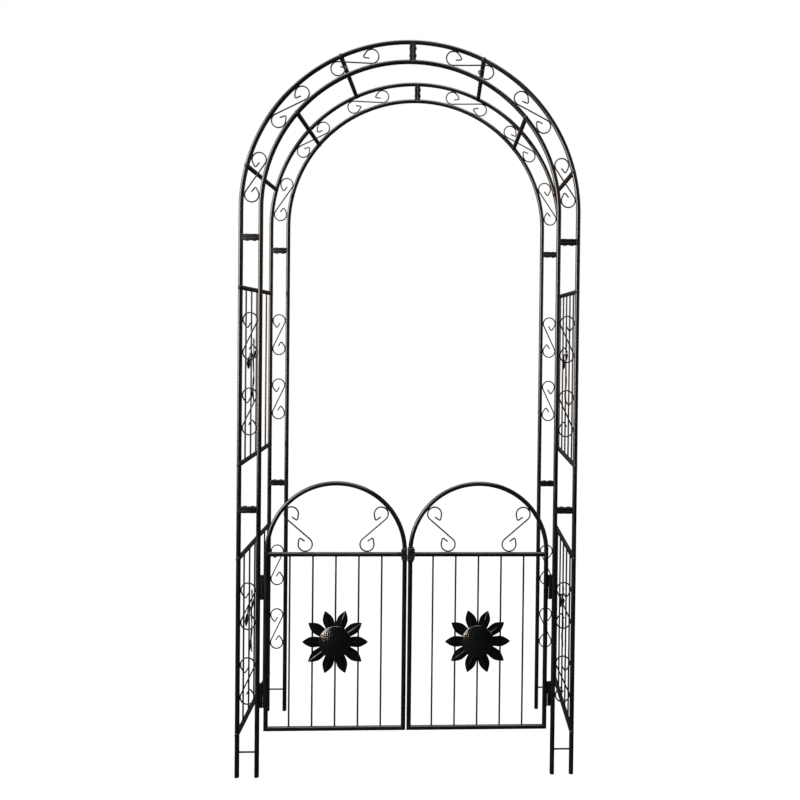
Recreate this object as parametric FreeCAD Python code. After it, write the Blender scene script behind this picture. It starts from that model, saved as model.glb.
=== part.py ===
import FreeCAD, Part
import math
import os

# A tubular steel garden arch with a two-leaf gate, in millimetres.
# X runs across the opening, Y from the gate side to the back, Z up from the ground.
# The origin is the middle of the whole outline on the ground.

# Driving dimensions of the arch
TUBE_DIAMETER = 12.7
TUBE_WALL = 1.2
ARCH_RADIUS = 515.0
LADDER_SPACING = 60.0
FRAME_DEPTH = 400.0
MID_JOINT_HEIGHT = 822.0
UPPER_JOINT_HEIGHT = 1653.0
ARCH_STUB = 87.0
FOOT_ROD_HEIGHT = 77.0
SPIGOT_LENGTH = 25.0
SOCKET_RELIEF = 10.0
JOINT_BAR_HEIGHT = 9.5
JOINT_BAR_DEPTH = 12.0

# Driving dimensions of the scrolls, rods and cross bars
ROD_DIAMETER = 4.0
SCROLL_BAR = 3.2
LEG_SCROLL_REACH = 100.0
LEG_SCROLL_PITCH = 230.0
ARCH_SCROLL_ANGLE = 40.0
ARCH_SCROLL_PITCH = 28.65
ARCH_SCROLL_SWEEP = 13.0
CURL_TURN = 239.0
HOOK_TURN = 116.0
HOOK_RADIUS = 3.6
HOOK_RUN = 12.0
HOOK_END = 15.0
CROSS_BAR_ANGLES = (65.0, 40.0, 14.5)

# Driving dimensions of the side panels and their roses
PANEL_HEIGHT = 540.0
UPPER_PANEL_FOOT = 960.0
LOWER_PANEL_FOOT = 132.0
PANEL_RODS = 5
ROSE_RADIUS = 20.0
ROSE_OFFSET = 76.0
ROSE_RISE = 34.0
STEM_RISE = 96.0
STEM_OFFSET = 18.0
LEAF_LENGTH = 46.0
LEAF_WIDTH = 17.0

# Driving dimensions of the gate
HINGE_GAP = 12.0
MEETING_GAP = 2.0
BOTTOM_RAIL_HEIGHT = 148.0
MID_RAIL_HEIGHT = 685.5
LEAF_SPRING_RISE = 8.0
GATE_RODS = 5
LEAF_SCROLL_REACH = 103.0
LEAF_SCROLL_SPREAD = 0.224
HINGE_HEIGHT = 75.0
UPPER_HINGE_HEIGHT = 584.0
LOWER_HINGE_HEIGHT = 251.0
PIN_RADIUS = 2.2
HINGE_STRIP_WIDTH = 8.0
PETALS = 10
PETAL_TIP_RADIUS = 101.0
PETAL_WIDTH = 34.0
PETAL_CREASE = 3.0
DISC_RADIUS = 50.0
DOME_HEIGHT = 14.0
LATCH_HEIGHT = 42.0
CASE_WIDTH = 15.0
KEEPER_WIDTH = 19.0
LATCH_RISE = 2.0
BOLT_RISE = 5.5
BOLT_RADIUS = 4.0
BOLT_TRAVEL = 10.0
BOLT_TAIL = 17.0
KNOB_RADIUS = 5.0
KNOB_WIDTH = 6.0
BOSS_WIDTH = 4.0

# Clearances and sheet thicknesses
FIT_CLEARANCE = 0.05
TRIM_GAP = 0.1
BODY_GAP = 0.3
BLOCK_GAP = 1.6
SHEET = 1.2
LATCH_WALL = 1.8

# Flat-sided stand-ins for the round tube, the round rod and the bends of both
TUBE_SIDES = 8
ROD_SIDES = 6
PIN_SIDES = 12
ARCH_CHORDS = 12
LEAF_CHORDS = 16
CURL_CHORDS = 6
HOOK_CHORDS = 2
DISC_SIDES = 16

# Derived sizes and places
TUBE_RADIUS = TUBE_DIAMETER / 2
BORE_RADIUS = TUBE_RADIUS - TUBE_WALL
ROD_RADIUS = ROD_DIAMETER / 2
INNER_RADIUS = ARCH_RADIUS - LADDER_SPACING
MIDDLE_RADIUS = ARCH_RADIUS - LADDER_SPACING / 2
LADDER_GAP = LADDER_SPACING - TUBE_DIAMETER
SPRING_HEIGHT = UPPER_JOINT_HEIGHT + ARCH_STUB
CURL_REACH = LADDER_GAP / 2 - TRIM_GAP
ARCH_CHORD_DIP = ARCH_RADIUS * (1 - math.cos(math.radians(45 / ARCH_CHORDS)))
FLOWER_FRONT = ROD_RADIUS + SHEET + PETAL_CREASE + DOME_HEIGHT
FRONT = -FRAME_DEPTH / 2 + (FLOWER_FRONT - TUBE_RADIUS) / 2
REAR = FRONT + FRAME_DEPTH
PIN_X = INNER_RADIUS - TUBE_RADIUS - HINGE_GAP / 2
HINGE_STILE_X = PIN_X - HINGE_GAP / 2 - TUBE_RADIUS
MEETING_STILE_X = MEETING_GAP / 2 + TUBE_RADIUS
LEAF_RADIUS = (HINGE_STILE_X - MEETING_STILE_X) / 2
LEAF_CENTRE_X = (HINGE_STILE_X + MEETING_STILE_X) / 2
LEAF_SPRING_HEIGHT = MID_RAIL_HEIGHT + LEAF_SPRING_RISE
LEAF_CHORD_REACH = LEAF_RADIUS * math.cos(math.radians(90 / LEAF_CHORDS)) - TUBE_RADIUS
BARREL_RADIUS = HINGE_GAP / 2 - SHEET - BODY_GAP
BOLT_HEIGHT = MID_RAIL_HEIGHT + BOLT_RISE
KNOB_REACH = KNOB_RADIUS / math.cos(math.pi / TUBE_SIDES)
BOLT_Y = FRONT - TUBE_RADIUS - BODY_GAP - KNOB_REACH
LATCH_FRONT = BOLT_Y - BOLT_RADIUS - LATCH_WALL

X_AXIS = FreeCAD.Vector(1, 0, 0)
Y_AXIS = FreeCAD.Vector(0, 1, 0)
Z_AXIS = FreeCAD.Vector(0, 0, 1)


def point(x, y, z):
    return FreeCAD.Vector(x, y, z)


def box(x_range, y_range, z_range):
    """A box between three pairs of limits, given in any order."""
    low = [min(pair) for pair in (x_range, y_range, z_range)]
    high = [max(pair) for pair in (x_range, y_range, z_range)]
    return Part.makeBox(high[0] - low[0], high[1] - low[1], high[2] - low[2], point(*low))


def cylinder(start, end, radius):
    return Part.makeCylinder(radius, (end - start).Length, start, end - start)


def flat_sided_section(centre, level, across, radius, sides, stretch=1.0):
    """A regular polygon about centre: its flats are at radius, and one of them faces level.

    A stretch of more than 1 widens it along level, which is what a mitre does to a section.
    """
    corner_radius = radius / math.cos(math.pi / sides)
    corners = []
    for index in range(sides):
        angle = 2 * math.pi * (index + 0.5) / sides
        shift = level * math.cos(angle) * stretch + across * math.sin(angle)
        corners.append(centre + shift * corner_radius)
    return corners


def flat_face(corners):
    return Part.Face(Part.makePolygon(corners + corners[:1]))


def faceted(sections):
    """A solid with flat faces from each section's corners to the next one's."""
    faces = [flat_face(sections[0]), flat_face(sections[-1])]
    for near, far in zip(sections, sections[1:]):
        for index in range(len(near)):
            faces.append(flat_face([near[index - 1], near[index], far[index], far[index - 1]]))
    shell = Part.makeShell(faces)
    shell.sewShape()
    return Part.Solid(shell)


def flat_sided_bar(start, end, level, radius, sides):
    """A straight bar with flat sides, one of which faces level."""
    direction = end - start
    across = direction.cross(level).normalize()
    return flat_face(flat_sided_section(start, level, across, radius, sides)).extrude(direction)


def mitres(path, closed=False):
    """The way square to the path at each of its points, and how far a mitre stretches a section there."""
    result = []
    count = len(path)
    for index, (across, up) in enumerate(path):
        headings = []
        for first, second in ((index - 1, index), (index, index + 1)):
            if closed or (first >= 0 and second < count):
                start = path[first % count]
                end = path[second % count]
                headings.append(math.atan2(end[1] - start[1], end[0] - start[0]))
        turn = (headings[-1] - headings[0] + math.pi) % (2 * math.pi) - math.pi
        square = headings[0] + turn / 2 + math.pi / 2
        result.append((math.cos(square), math.sin(square), 1 / math.cos(turn / 2)))
    return result


def tube_sections(path, y, closed=False):
    """The sections of a bent tube at the points of a path in the XZ plane, mitred where it turns."""
    sections = []
    for (x, z), (side, rise, stretch) in zip(path, mitres(path, closed)):
        level = point(side, 0, rise)
        sections.append(flat_sided_section(point(x, y, z), level, Y_AXIS, TUBE_RADIUS, TUBE_SIDES, stretch))
    return sections


def arc_points(centre, radius, start, end, chords, extra=0):
    """Points on an arc of the XZ plane, at angles in degrees up from +X, with extra ones past its end."""
    points = []
    for index in range(chords + 1 + extra):
        angle = math.radians(start + (end - start) * index / chords)
        points.append((centre[0] + radius * math.cos(angle), centre[1] + radius * math.sin(angle)))
    return points


def strip(path, width, thickness, level):
    """A flat strip that follows a path of the XZ plane, its thickness along level from y = 0."""
    left = []
    right = []
    for (across, up), (side, rise, stretch) in zip(path, mitres(path)):
        shift = width / 2 * stretch
        left.append(point(across + shift * side, 0, up + shift * rise))
        right.append(point(across - shift * side, 0, up - shift * rise))
    return flat_face(left + right[::-1]).extrude(level * thickness)


def joined(shapes):
    """One solid from pieces that are welded together."""
    return shapes[0].fuse(shapes[1:]).removeSplitter()


def mirrored(shape):
    """The same piece on the other side of the arch."""
    return shape.mirror(point(0, 0, 0), X_AXIS)


def export(name, shape):
    shape.exportStep("parts/" + name + ".step")


# Arch sections: two bent tubes, a bar at each end and spigots that plug into the leg below
def arch_section(y):
    pieces = []
    for radius in (ARCH_RADIUS, INNER_RADIUS):
        path = [(-radius, UPPER_JOINT_HEIGHT)]
        path += arc_points((0, SPRING_HEIGHT), radius, 180, 90, ARCH_CHORDS, 1)
        pieces.append(faceted(tube_sections(path, y)[:-1]))
        pieces.append(spigot(point(-radius, y, UPPER_JOINT_HEIGHT)))
    pieces.append(joint_bar(y, UPPER_JOINT_HEIGHT, UPPER_JOINT_HEIGHT + JOINT_BAR_HEIGHT))
    crown_heights = (SPRING_HEIGHT + INNER_RADIUS, SPRING_HEIGHT + ARCH_RADIUS)
    bar_sides = (y - JOINT_BAR_DEPTH / 2, y + JOINT_BAR_DEPTH / 2)
    pieces.append(box((-JOINT_BAR_HEIGHT, 0), bar_sides, crown_heights))
    return joined(pieces)


def spigot(joint):
    """The narrowed tube end that slides into the bore of the tube below."""
    radius = (BORE_RADIUS - FIT_CLEARANCE) * math.cos(math.pi / TUBE_SIDES)
    return flat_sided_bar(joint - Z_AXIS * SPIGOT_LENGTH, joint, X_AXIS, radius, TUBE_SIDES)


def joint_bar(y, low, high):
    """The flat bar across the end of a section, which bolts to the next section's bar."""
    y_range = (y - JOINT_BAR_DEPTH / 2, y + JOINT_BAR_DEPTH / 2)
    return box((-ARCH_RADIUS, -INNER_RADIUS), y_range, (low, high))


# Leg sections: two straight tubes, open where the next spigot enters
def upper_leg(y):
    pieces = [
        joint_bar(y, MID_JOINT_HEIGHT, MID_JOINT_HEIGHT + JOINT_BAR_HEIGHT),
        joint_bar(y, UPPER_JOINT_HEIGHT - JOINT_BAR_HEIGHT, UPPER_JOINT_HEIGHT),
    ]
    bores = []
    for radius in (ARCH_RADIUS, INNER_RADIUS):
        low = point(-radius, y, MID_JOINT_HEIGHT)
        high = point(-radius, y, UPPER_JOINT_HEIGHT)
        pieces.append(flat_sided_bar(low, high, X_AXIS, TUBE_RADIUS, TUBE_SIDES))
        pieces.append(spigot(low))
        plug = Z_AXIS * JOINT_BAR_HEIGHT
        bores.append(flat_sided_bar(low + plug, high, X_AXIS, BORE_RADIUS, TUBE_SIDES))
    return joined(pieces).cut(bores)


def lower_leg(y):
    """Round bores from the feet up take ground spikes, and the sockets over them take the spigots."""
    rod_start = point(-ARCH_RADIUS, y, FOOT_ROD_HEIGHT)
    rod_end = point(-INNER_RADIUS, y, FOOT_ROD_HEIGHT)
    pieces = [
        joint_bar(y, MID_JOINT_HEIGHT - JOINT_BAR_HEIGHT, MID_JOINT_HEIGHT),
        flat_sided_bar(rod_start, rod_end, Z_AXIS, ROD_RADIUS, ROD_SIDES),
    ]
    bores = []
    for radius in (ARCH_RADIUS, INNER_RADIUS):
        low = point(-radius, y, 0)
        high = point(-radius, y, MID_JOINT_HEIGHT)
        socket = high - Z_AXIS * (SPIGOT_LENGTH + SOCKET_RELIEF)
        pieces.append(flat_sided_bar(low, high, X_AXIS, TUBE_RADIUS, TUBE_SIDES))
        bores.append(cylinder(low, socket, BORE_RADIUS))
        bores.append(flat_sided_bar(socket, high, X_AXIS, BORE_RADIUS, TUBE_SIDES))
    return joined(pieces).cut(bores)


# Scrolls: an S of square bar, two open curls on one slanting run, each curl ending in a tight hook
def bend_moves(radius, degrees, chords):
    """A bend as equal chords, each a length and the turn that it takes."""
    turn = math.radians(degrees) / chords
    return [(2 * radius * math.sin(turn / 2), turn)] * chords


def scroll(reach, curl_reach):
    """A scroll about the origin of the XZ plane, with its curls reach apart and curl_reach to their edge."""
    radius = curl_reach - SCROLL_BAR / 2 / math.cos(math.radians(CURL_TURN / CURL_CHORDS / 2))
    heading = math.pi / 2 - math.asin(radius * 2 / reach)
    moves = [(math.sqrt(reach ** 2 / 4 - radius ** 2), 0.0)]
    moves += bend_moves(radius, CURL_TURN, CURL_CHORDS)
    moves.append((HOOK_RUN, 0.0))
    moves += bend_moves(HOOK_RADIUS, HOOK_TURN, HOOK_CHORDS)
    moves.append((HOOK_END, 0.0))
    across = 0.0
    up = 0.0
    half = []
    for length, turn in moves:
        heading += turn / 2
        across += length * math.cos(heading)
        up += length * math.sin(heading)
        heading += turn / 2
        half.append((across, up))
    path = [(-across, -up) for across, up in half[::-1]] + half
    return strip(path, SCROLL_BAR, SCROLL_BAR, Y_AXIS).translated(Y_AXIS * -SCROLL_BAR / 2)


def leg_scrolls(y, low, high):
    """Two scrolls, one above the other, in the ladder of a leg."""
    middle = (low + high) / 2
    shapes = []
    for height in (middle + LEG_SCROLL_PITCH / 2, middle - LEG_SCROLL_PITCH / 2):
        shape = scroll(LEG_SCROLL_REACH, CURL_REACH)
        shapes.append(shape.translated(point(-MIDDLE_RADIUS, y, height)))
    return Part.makeCompound(shapes)


def arch_scrolls(y):
    """Three scrolls that follow the bend, each with both curls at the middle of the ladder."""
    middle_radius = MIDDLE_RADIUS - ARCH_CHORD_DIP / 2
    half_sweep = math.radians(ARCH_SCROLL_SWEEP / 2)
    reach = 2 * middle_radius * math.sin(half_sweep)
    shapes = []
    for index in range(3):
        shape = scroll(reach, CURL_REACH - ARCH_CHORD_DIP / 2)
        shape = shape.translated(point(-middle_radius * math.cos(half_sweep), y, 0))
        shape.rotate(point(0, y, 0), Y_AXIS, ARCH_SCROLL_ANGLE + (index - 1) * ARCH_SCROLL_PITCH)
        shapes.append(shape.translated(Z_AXIS * SPRING_HEIGHT))
    return Part.makeCompound(shapes)


# Cross bars: they butt against the front and rear tubes and are bolted through them
def cross_bar(x, z, level):
    start = point(x, FRONT + TUBE_RADIUS, z)
    end = point(x, REAR - TUBE_RADIUS, z)
    return flat_sided_bar(start, end, level, TUBE_RADIUS, TUBE_SIDES)


def arch_cross_bar(index):
    """A bar over the arch: the middle one joins the inner tubes and the other two the outer tubes."""
    angle = math.radians(CROSS_BAR_ANGLES[index])
    radius = INNER_RADIUS if index == 1 else ARCH_RADIUS
    level = point(-math.cos(angle), 0, math.sin(angle))
    return cross_bar(-radius * math.cos(angle), SPRING_HEIGHT + radius * math.sin(angle), level)


# Side panels: two bars and a row of rods between the outer tubes
def panel_bars(foot):
    bars = []
    for z in (foot, foot + PANEL_HEIGHT):
        bars.append(cross_bar(-ARCH_RADIUS, z, X_AXIS))
    return Part.makeCompound(bars)


def panel_rods(foot):
    """The rods of a panel, each from the face of its lower bar to the face of its upper bar."""
    rods = []
    for index in range(PANEL_RODS):
        y = FRONT + FRAME_DEPTH * (index + 1) / (PANEL_RODS + 1)
        low = point(-ARCH_RADIUS, y, foot + TUBE_RADIUS)
        high = point(-ARCH_RADIUS, y, foot + PANEL_HEIGHT - TUBE_RADIUS)
        rods.append(flat_sided_bar(low, high, X_AXIS, ROD_RADIUS, ROD_SIDES))
    return Part.makeCompound(rods)


# Rose: a curved stem with leaves and a layered flower, cut from sheet and welded outside the rods
def pointed_leaf(start, length, width, heading):
    """A flat pointed leaf in the XZ plane: heading is in degrees up from +X."""
    outline = []
    for along, out in ((0, 0), (0.35, 0.5), (0.7, 0.36), (1, 0), (0.7, -0.36), (0.35, -0.5)):
        outline.append(point(along * length, 0, out * width))
    plate = flat_face(outline).extrude(Y_AXIS * -SHEET)
    plate.rotate(point(0, 0, 0), Y_AXIS, -heading)
    return plate.translated(point(start[0], 0, start[1]))


def rose_ornament():
    """The ornament as seen from outside in the XZ plane, the front of the arch to its right."""
    fork = (STEM_OFFSET - 2, 0)
    node = (STEM_OFFSET + 6, -STEM_RISE / 2)
    upper_node = (STEM_OFFSET + 2, STEM_RISE / 2)
    tip = (STEM_OFFSET - 2, STEM_RISE)
    stem = [(STEM_OFFSET - 4, -STEM_RISE), node, fork, upper_node, tip]
    bow = (STEM_OFFSET + 16, ROSE_RISE * 1.7)
    drop = (ROSE_OFFSET - 12, ROSE_RISE * 1.9)
    branch = [fork, bow, drop, (ROSE_OFFSET, ROSE_RISE)]
    pieces = [
        strip(stem, ROD_DIAMETER, -SHEET, Y_AXIS),
        strip(branch, ROD_DIAMETER, -SHEET, Y_AXIS),
        pointed_leaf(node, LEAF_LENGTH, LEAF_WIDTH, 105),
        pointed_leaf(node, LEAF_LENGTH, LEAF_WIDTH, -60),
        pointed_leaf(upper_node, LEAF_LENGTH * 0.8, LEAF_WIDTH, 140),
        pointed_leaf((tip[0], tip[1] - ROD_DIAMETER), LEAF_LENGTH * 0.5, LEAF_WIDTH * 0.7, 80),
    ]
    start = point(ROSE_OFFSET, 0, ROSE_RISE)
    for layer in range(3):
        radius = ROSE_RADIUS * (1 - 0.28 * layer)
        foot = flat_sided_section(start, X_AXIS, Z_AXIS, radius * 0.8, PETALS)
        rim_centre = start - Y_AXIS * SHEET * 2
        rim = flat_sided_section(rim_centre, X_AXIS, Z_AXIS, radius, PETALS)
        pieces.append(faceted([foot, rim]))
        start = rim_centre
    return joined(pieces)


def panel_rose(foot):
    """The ornament on the outside of the left-hand panel."""
    shape = rose_ornament()
    shape.rotate(point(0, 0, 0), Z_AXIS, -90)
    middle = point(-ARCH_RADIUS - ROD_RADIUS, (FRONT + REAR) / 2, foot + PANEL_HEIGHT / 2)
    return shape.translated(middle)


def half_turn(shape):
    """The same piece turned round for the other side, so that it still faces outwards."""
    turned = shape.copy()
    turned.rotate(point(0, (FRONT + REAR) / 2, 0), Z_AXIS, 180)
    return turned


# Gate leaf, left-hand: arched tube frame with a middle and a bottom rail
def leaf_frame():
    path = [(-HINGE_STILE_X, BOTTOM_RAIL_HEIGHT)]
    path += arc_points((-LEAF_CENTRE_X, LEAF_SPRING_HEIGHT), LEAF_RADIUS, 180, 0, LEAF_CHORDS)
    path.append((-MEETING_STILE_X, BOTTOM_RAIL_HEIGHT))
    sections = tube_sections(path, FRONT, True)
    bow = faceted(sections)
    bottom_rail = faceted([sections[-1], sections[0]])
    start = point(-HINGE_STILE_X, FRONT, MID_RAIL_HEIGHT)
    end = point(-MEETING_STILE_X, FRONT, MID_RAIL_HEIGHT)
    middle_rail = flat_sided_bar(start, end, Z_AXIS, TUBE_RADIUS, TUBE_SIDES)
    return joined([bow, bottom_rail, middle_rail])


def leaf_rods():
    """The rods that stand between the two rails of a leaf."""
    rods = []
    for index in range(GATE_RODS):
        x = -HINGE_STILE_X + 2 * LEAF_RADIUS * (index + 1) / (GATE_RODS + 1)
        low = point(x, FRONT, BOTTOM_RAIL_HEIGHT + TUBE_RADIUS)
        high = point(x, FRONT, MID_RAIL_HEIGHT - TUBE_RADIUS)
        rods.append(flat_sided_bar(low, high, Y_AXIS, ROD_RADIUS, ROD_SIDES))
    return Part.makeCompound(rods)


def leaf_scrolls():
    """Two scrolls that stand on the middle rail and lean out to the bend, one each side."""
    foot_x = 2 * LEAF_RADIUS * LEAF_SCROLL_SPREAD
    foot_z = TUBE_RADIUS + CURL_REACH + TRIM_GAP - LEAF_SPRING_RISE
    foot_distance = math.hypot(foot_x, foot_z)
    top_distance = LEAF_CHORD_REACH - CURL_REACH - TRIM_GAP
    along = (top_distance ** 2 - LEAF_SCROLL_REACH ** 2 + foot_distance ** 2) / (2 * foot_distance)
    beside = math.sqrt(top_distance ** 2 - along ** 2)
    top_x = (foot_x * along - foot_z * beside) / foot_distance
    top_z = (foot_z * along + foot_x * beside) / foot_distance
    lean = math.degrees(math.atan2(top_x - foot_x, top_z - foot_z))
    middle = point((top_x + foot_x) / 2, 0, LEAF_SPRING_HEIGHT + (top_z + foot_z) / 2)
    right = scroll(LEAF_SCROLL_REACH, CURL_REACH)
    right.rotate(point(0, 0, 0), Y_AXIS, lean)
    right = right.translated(middle)
    pair = Part.makeCompound([right, mirrored(right)])
    return pair.translated(point(-LEAF_CENTRE_X, FRONT, 0))


# Sunflower: a ring of creased petals with a domed disc welded over its middle
def petal(index):
    """One petal, cut to a pointed outline from a strip that is ridged along its middle."""
    base = DISC_RADIUS * 0.6
    length = PETAL_TIP_RADIUS - base
    outline = []
    for along, out in ((0, 0.3), (0.45, 0.5), (0.8, 0.3), (1, 0), (0.8, -0.3), (0.45, -0.5), (0, -0.3)):
        outline.append(point(base + along * length, 0, out * PETAL_WIDTH))
    blank = flat_face(outline).extrude(Y_AXIS * -(SHEET + PETAL_CREASE))
    ridge = [
        point(0, 0, -PETAL_WIDTH),
        point(0, 0, PETAL_WIDTH),
        point(0, -SHEET + PETAL_CREASE, PETAL_WIDTH),
        point(0, -SHEET - PETAL_CREASE, 0),
        point(0, -SHEET + PETAL_CREASE, -PETAL_WIDTH),
    ]
    shape = blank.common(flat_face(ridge).extrude(X_AXIS * PETAL_TIP_RADIUS))
    shape.rotate(point(0, 0, 0), Y_AXIS, 360 * index / PETALS)
    return shape


def flower_centre():
    return point(-LEAF_CENTRE_X, FRONT - ROD_RADIUS, (BOTTOM_RAIL_HEIGHT + MID_RAIL_HEIGHT) / 2)


def flower_petals():
    hub = flat_face(flat_sided_section(point(0, 0, 0), X_AXIS, Z_AXIS, DISC_RADIUS * 0.7, PETALS))
    pieces = [hub.extrude(Y_AXIS * -(SHEET + PETAL_CREASE))]
    for index in range(PETALS):
        pieces.append(petal(index))
    return joined(pieces).translated(flower_centre())


def flower_disc():
    """The hammered disc: flat facets in rings that rise to a low dome, seated on the petals' ridges."""
    back = SHEET + PETAL_CREASE
    sections = []
    for radius_share, height_share in ((1.0, 0.0), (0.8, 0.4), (0.5, 0.8), (0.2, 1.0)):
        centre = point(0, -back - DOME_HEIGHT * height_share, 0)
        sections.append(flat_sided_section(centre, X_AXIS, Z_AXIS, DISC_RADIUS * radius_share, DISC_SIDES))
    return faceted(sections).translated(flower_centre())


# Hinges: a lift-off barrel, its lower half and pin on the post and its upper half on the leaf
def hinge_half(tube_x, height, low, high):
    """Strip, web and half barrel, welded to the face of the tube that carries them."""
    toward = 1 if tube_x < -PIN_X else -1
    face_x = tube_x + toward * TUBE_RADIUS
    z_range = (height - HINGE_HEIGHT / 2, height + HINGE_HEIGHT / 2)
    y_range = (FRONT - HINGE_STRIP_WIDTH / 2, FRONT + HINGE_STRIP_WIDTH / 2)
    strip_plate = box((face_x, face_x + toward * SHEET), y_range, z_range)
    web = box((face_x, -PIN_X), (FRONT - PIN_RADIUS, FRONT + PIN_RADIUS), (low, high))
    barrel_radius = BARREL_RADIUS * math.cos(math.pi / TUBE_SIDES)
    start = point(-PIN_X, FRONT, low)
    barrel = flat_sided_bar(start, point(-PIN_X, FRONT, high), X_AXIS, barrel_radius, TUBE_SIDES)
    return joined([strip_plate, web, barrel])


def post_hinges():
    shapes = []
    for height in (UPPER_HINGE_HEIGHT, LOWER_HINGE_HEIGHT):
        low = height - HINGE_HEIGHT / 2
        half = hinge_half(-INNER_RADIUS, height, low, height)
        start = point(-PIN_X, FRONT, low)
        pin = cylinder(start, start + Z_AXIS * HINGE_HEIGHT, PIN_RADIUS)
        shapes.append(joined([half, pin]))
    return Part.makeCompound(shapes)


def leaf_hinges():
    shapes = []
    for height in (UPPER_HINGE_HEIGHT, LOWER_HINGE_HEIGHT):
        high = height + HINGE_HEIGHT / 2
        half = hinge_half(-HINGE_STILE_X, height, height + BODY_GAP, high)
        start = point(-PIN_X, FRONT, height)
        end = point(-PIN_X, FRONT, high)
        bore = flat_sided_bar(start, end, X_AXIS, PIN_RADIUS + FIT_CLEARANCE, PIN_SIDES)
        shapes.append(half.cut(bore))
    return Part.makeCompound(shapes)


# Latch: a slide bolt in a case on the left leaf, and its keeper on the right leaf
def latch_block(inner_x, outer_x, frame):
    """A block in front of a meeting stile, coped to the stile and the middle rail behind it."""
    middle = MID_RAIL_HEIGHT + LATCH_RISE
    z_range = (middle - LATCH_HEIGHT / 2, middle + LATCH_HEIGHT / 2)
    return box((inner_x, outer_x), (LATCH_FRONT, FRONT), z_range).cut(frame)


def latch_case(frame):
    inner_x = -BLOCK_GAP / 2
    outer_x = inner_x - CASE_WIDTH
    start = point(outer_x, BOLT_Y, BOLT_HEIGHT)
    end = point(inner_x, BOLT_Y, BOLT_HEIGHT)
    bore = flat_sided_bar(start, end, Z_AXIS, BOLT_RADIUS + 2 * FIT_CLEARANCE, PIN_SIDES)
    return latch_block(inner_x, outer_x, frame).cut(bore)


def latch_keeper(frame):
    """The keeper has a square hole for the bolt and a six-sided boss on its closed end."""
    inner_x = BLOCK_GAP / 2
    outer_x = inner_x + KEEPER_WIDTH
    start = point(outer_x, BOLT_Y, BOLT_HEIGHT)
    boss_radius = BOLT_RADIUS + LATCH_WALL / 2
    boss = flat_sided_bar(start, start + X_AXIS * BOSS_WIDTH, Z_AXIS, boss_radius, ROD_SIDES)
    reach = BOLT_RADIUS + BODY_GAP
    y_range = (BOLT_Y - reach, BOLT_Y + reach)
    z_range = (BOLT_HEIGHT - reach, BOLT_HEIGHT + reach)
    hole = box((inner_x, inner_x + BOLT_TRAVEL + BOLT_RADIUS), y_range, z_range)
    return joined([latch_block(inner_x, outer_x, frame), boss]).cut(hole)


def latch_bolt():
    """The bolt drawn back, its tip just inside the case and its knob at the free end."""
    tail = -BLOCK_GAP / 2 - CASE_WIDTH - BOLT_TAIL
    start = point(tail, BOLT_Y, BOLT_HEIGHT)
    tip = point(-BLOCK_GAP / 2 - BODY_GAP, BOLT_Y, BOLT_HEIGHT)
    rod = flat_sided_bar(start, tip, Z_AXIS, BOLT_RADIUS, PIN_SIDES)
    knob = flat_sided_bar(start, start + X_AXIS * KNOB_WIDTH, Z_AXIS, KNOB_RADIUS, TUBE_SIDES)
    return joined([rod, knob])


os.makedirs("parts", exist_ok=True)

SIDES = (("left", lambda shape: shape), ("right", mirrored))
FRAMES = (("front", FRONT), ("rear", REAR))

for frame_name, y in FRAMES:
    pieces = {
        "arch_section": arch_section(y),
        "arch_scrolls": arch_scrolls(y),
        "upper_leg": upper_leg(y),
        "upper_leg_scrolls": leg_scrolls(y, MID_JOINT_HEIGHT, UPPER_JOINT_HEIGHT),
        "lower_leg": lower_leg(y),
        "lower_leg_scrolls": leg_scrolls(y, 0, MID_JOINT_HEIGHT),
    }
    for name, shape in pieces.items():
        for side, placed in SIDES:
            export(name + "_" + frame_name + "_" + side, placed(shape))

for index, name in enumerate(("crown", "shoulder", "spring")):
    for side, placed in SIDES:
        export("cross_bar_" + name + "_" + side, placed(arch_cross_bar(index)))

for name, foot in (("upper", UPPER_PANEL_FOOT), ("lower", LOWER_PANEL_FOOT)):
    for side, placed in SIDES:
        export("panel_bars_" + name + "_" + side, placed(panel_bars(foot)))
        export("panel_rods_" + name + "_" + side, placed(panel_rods(foot)))
    export("panel_rose_" + name + "_left", panel_rose(foot))
    export("panel_rose_" + name + "_right", half_turn(panel_rose(foot)))

left_frame = leaf_frame()
leaf_pieces = {
    "leaf_frame": left_frame,
    "leaf_rods": leaf_rods(),
    "leaf_scrolls": leaf_scrolls(),
    "flower_petals": flower_petals(),
    "flower_disc": flower_disc(),
    "hinge_post_halves": post_hinges(),
    "hinge_leaf_halves": leaf_hinges(),
}
for name, shape in leaf_pieces.items():
    for side, placed in SIDES:
        export(name + "_" + side, placed(shape))

export("latch_case", latch_case(left_frame))
export("latch_keeper", latch_keeper(mirrored(left_frame)))
export("latch_bolt", latch_bolt())
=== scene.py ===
import math
import bpy
import numpy as np
from mathutils import Matrix, Vector


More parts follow.
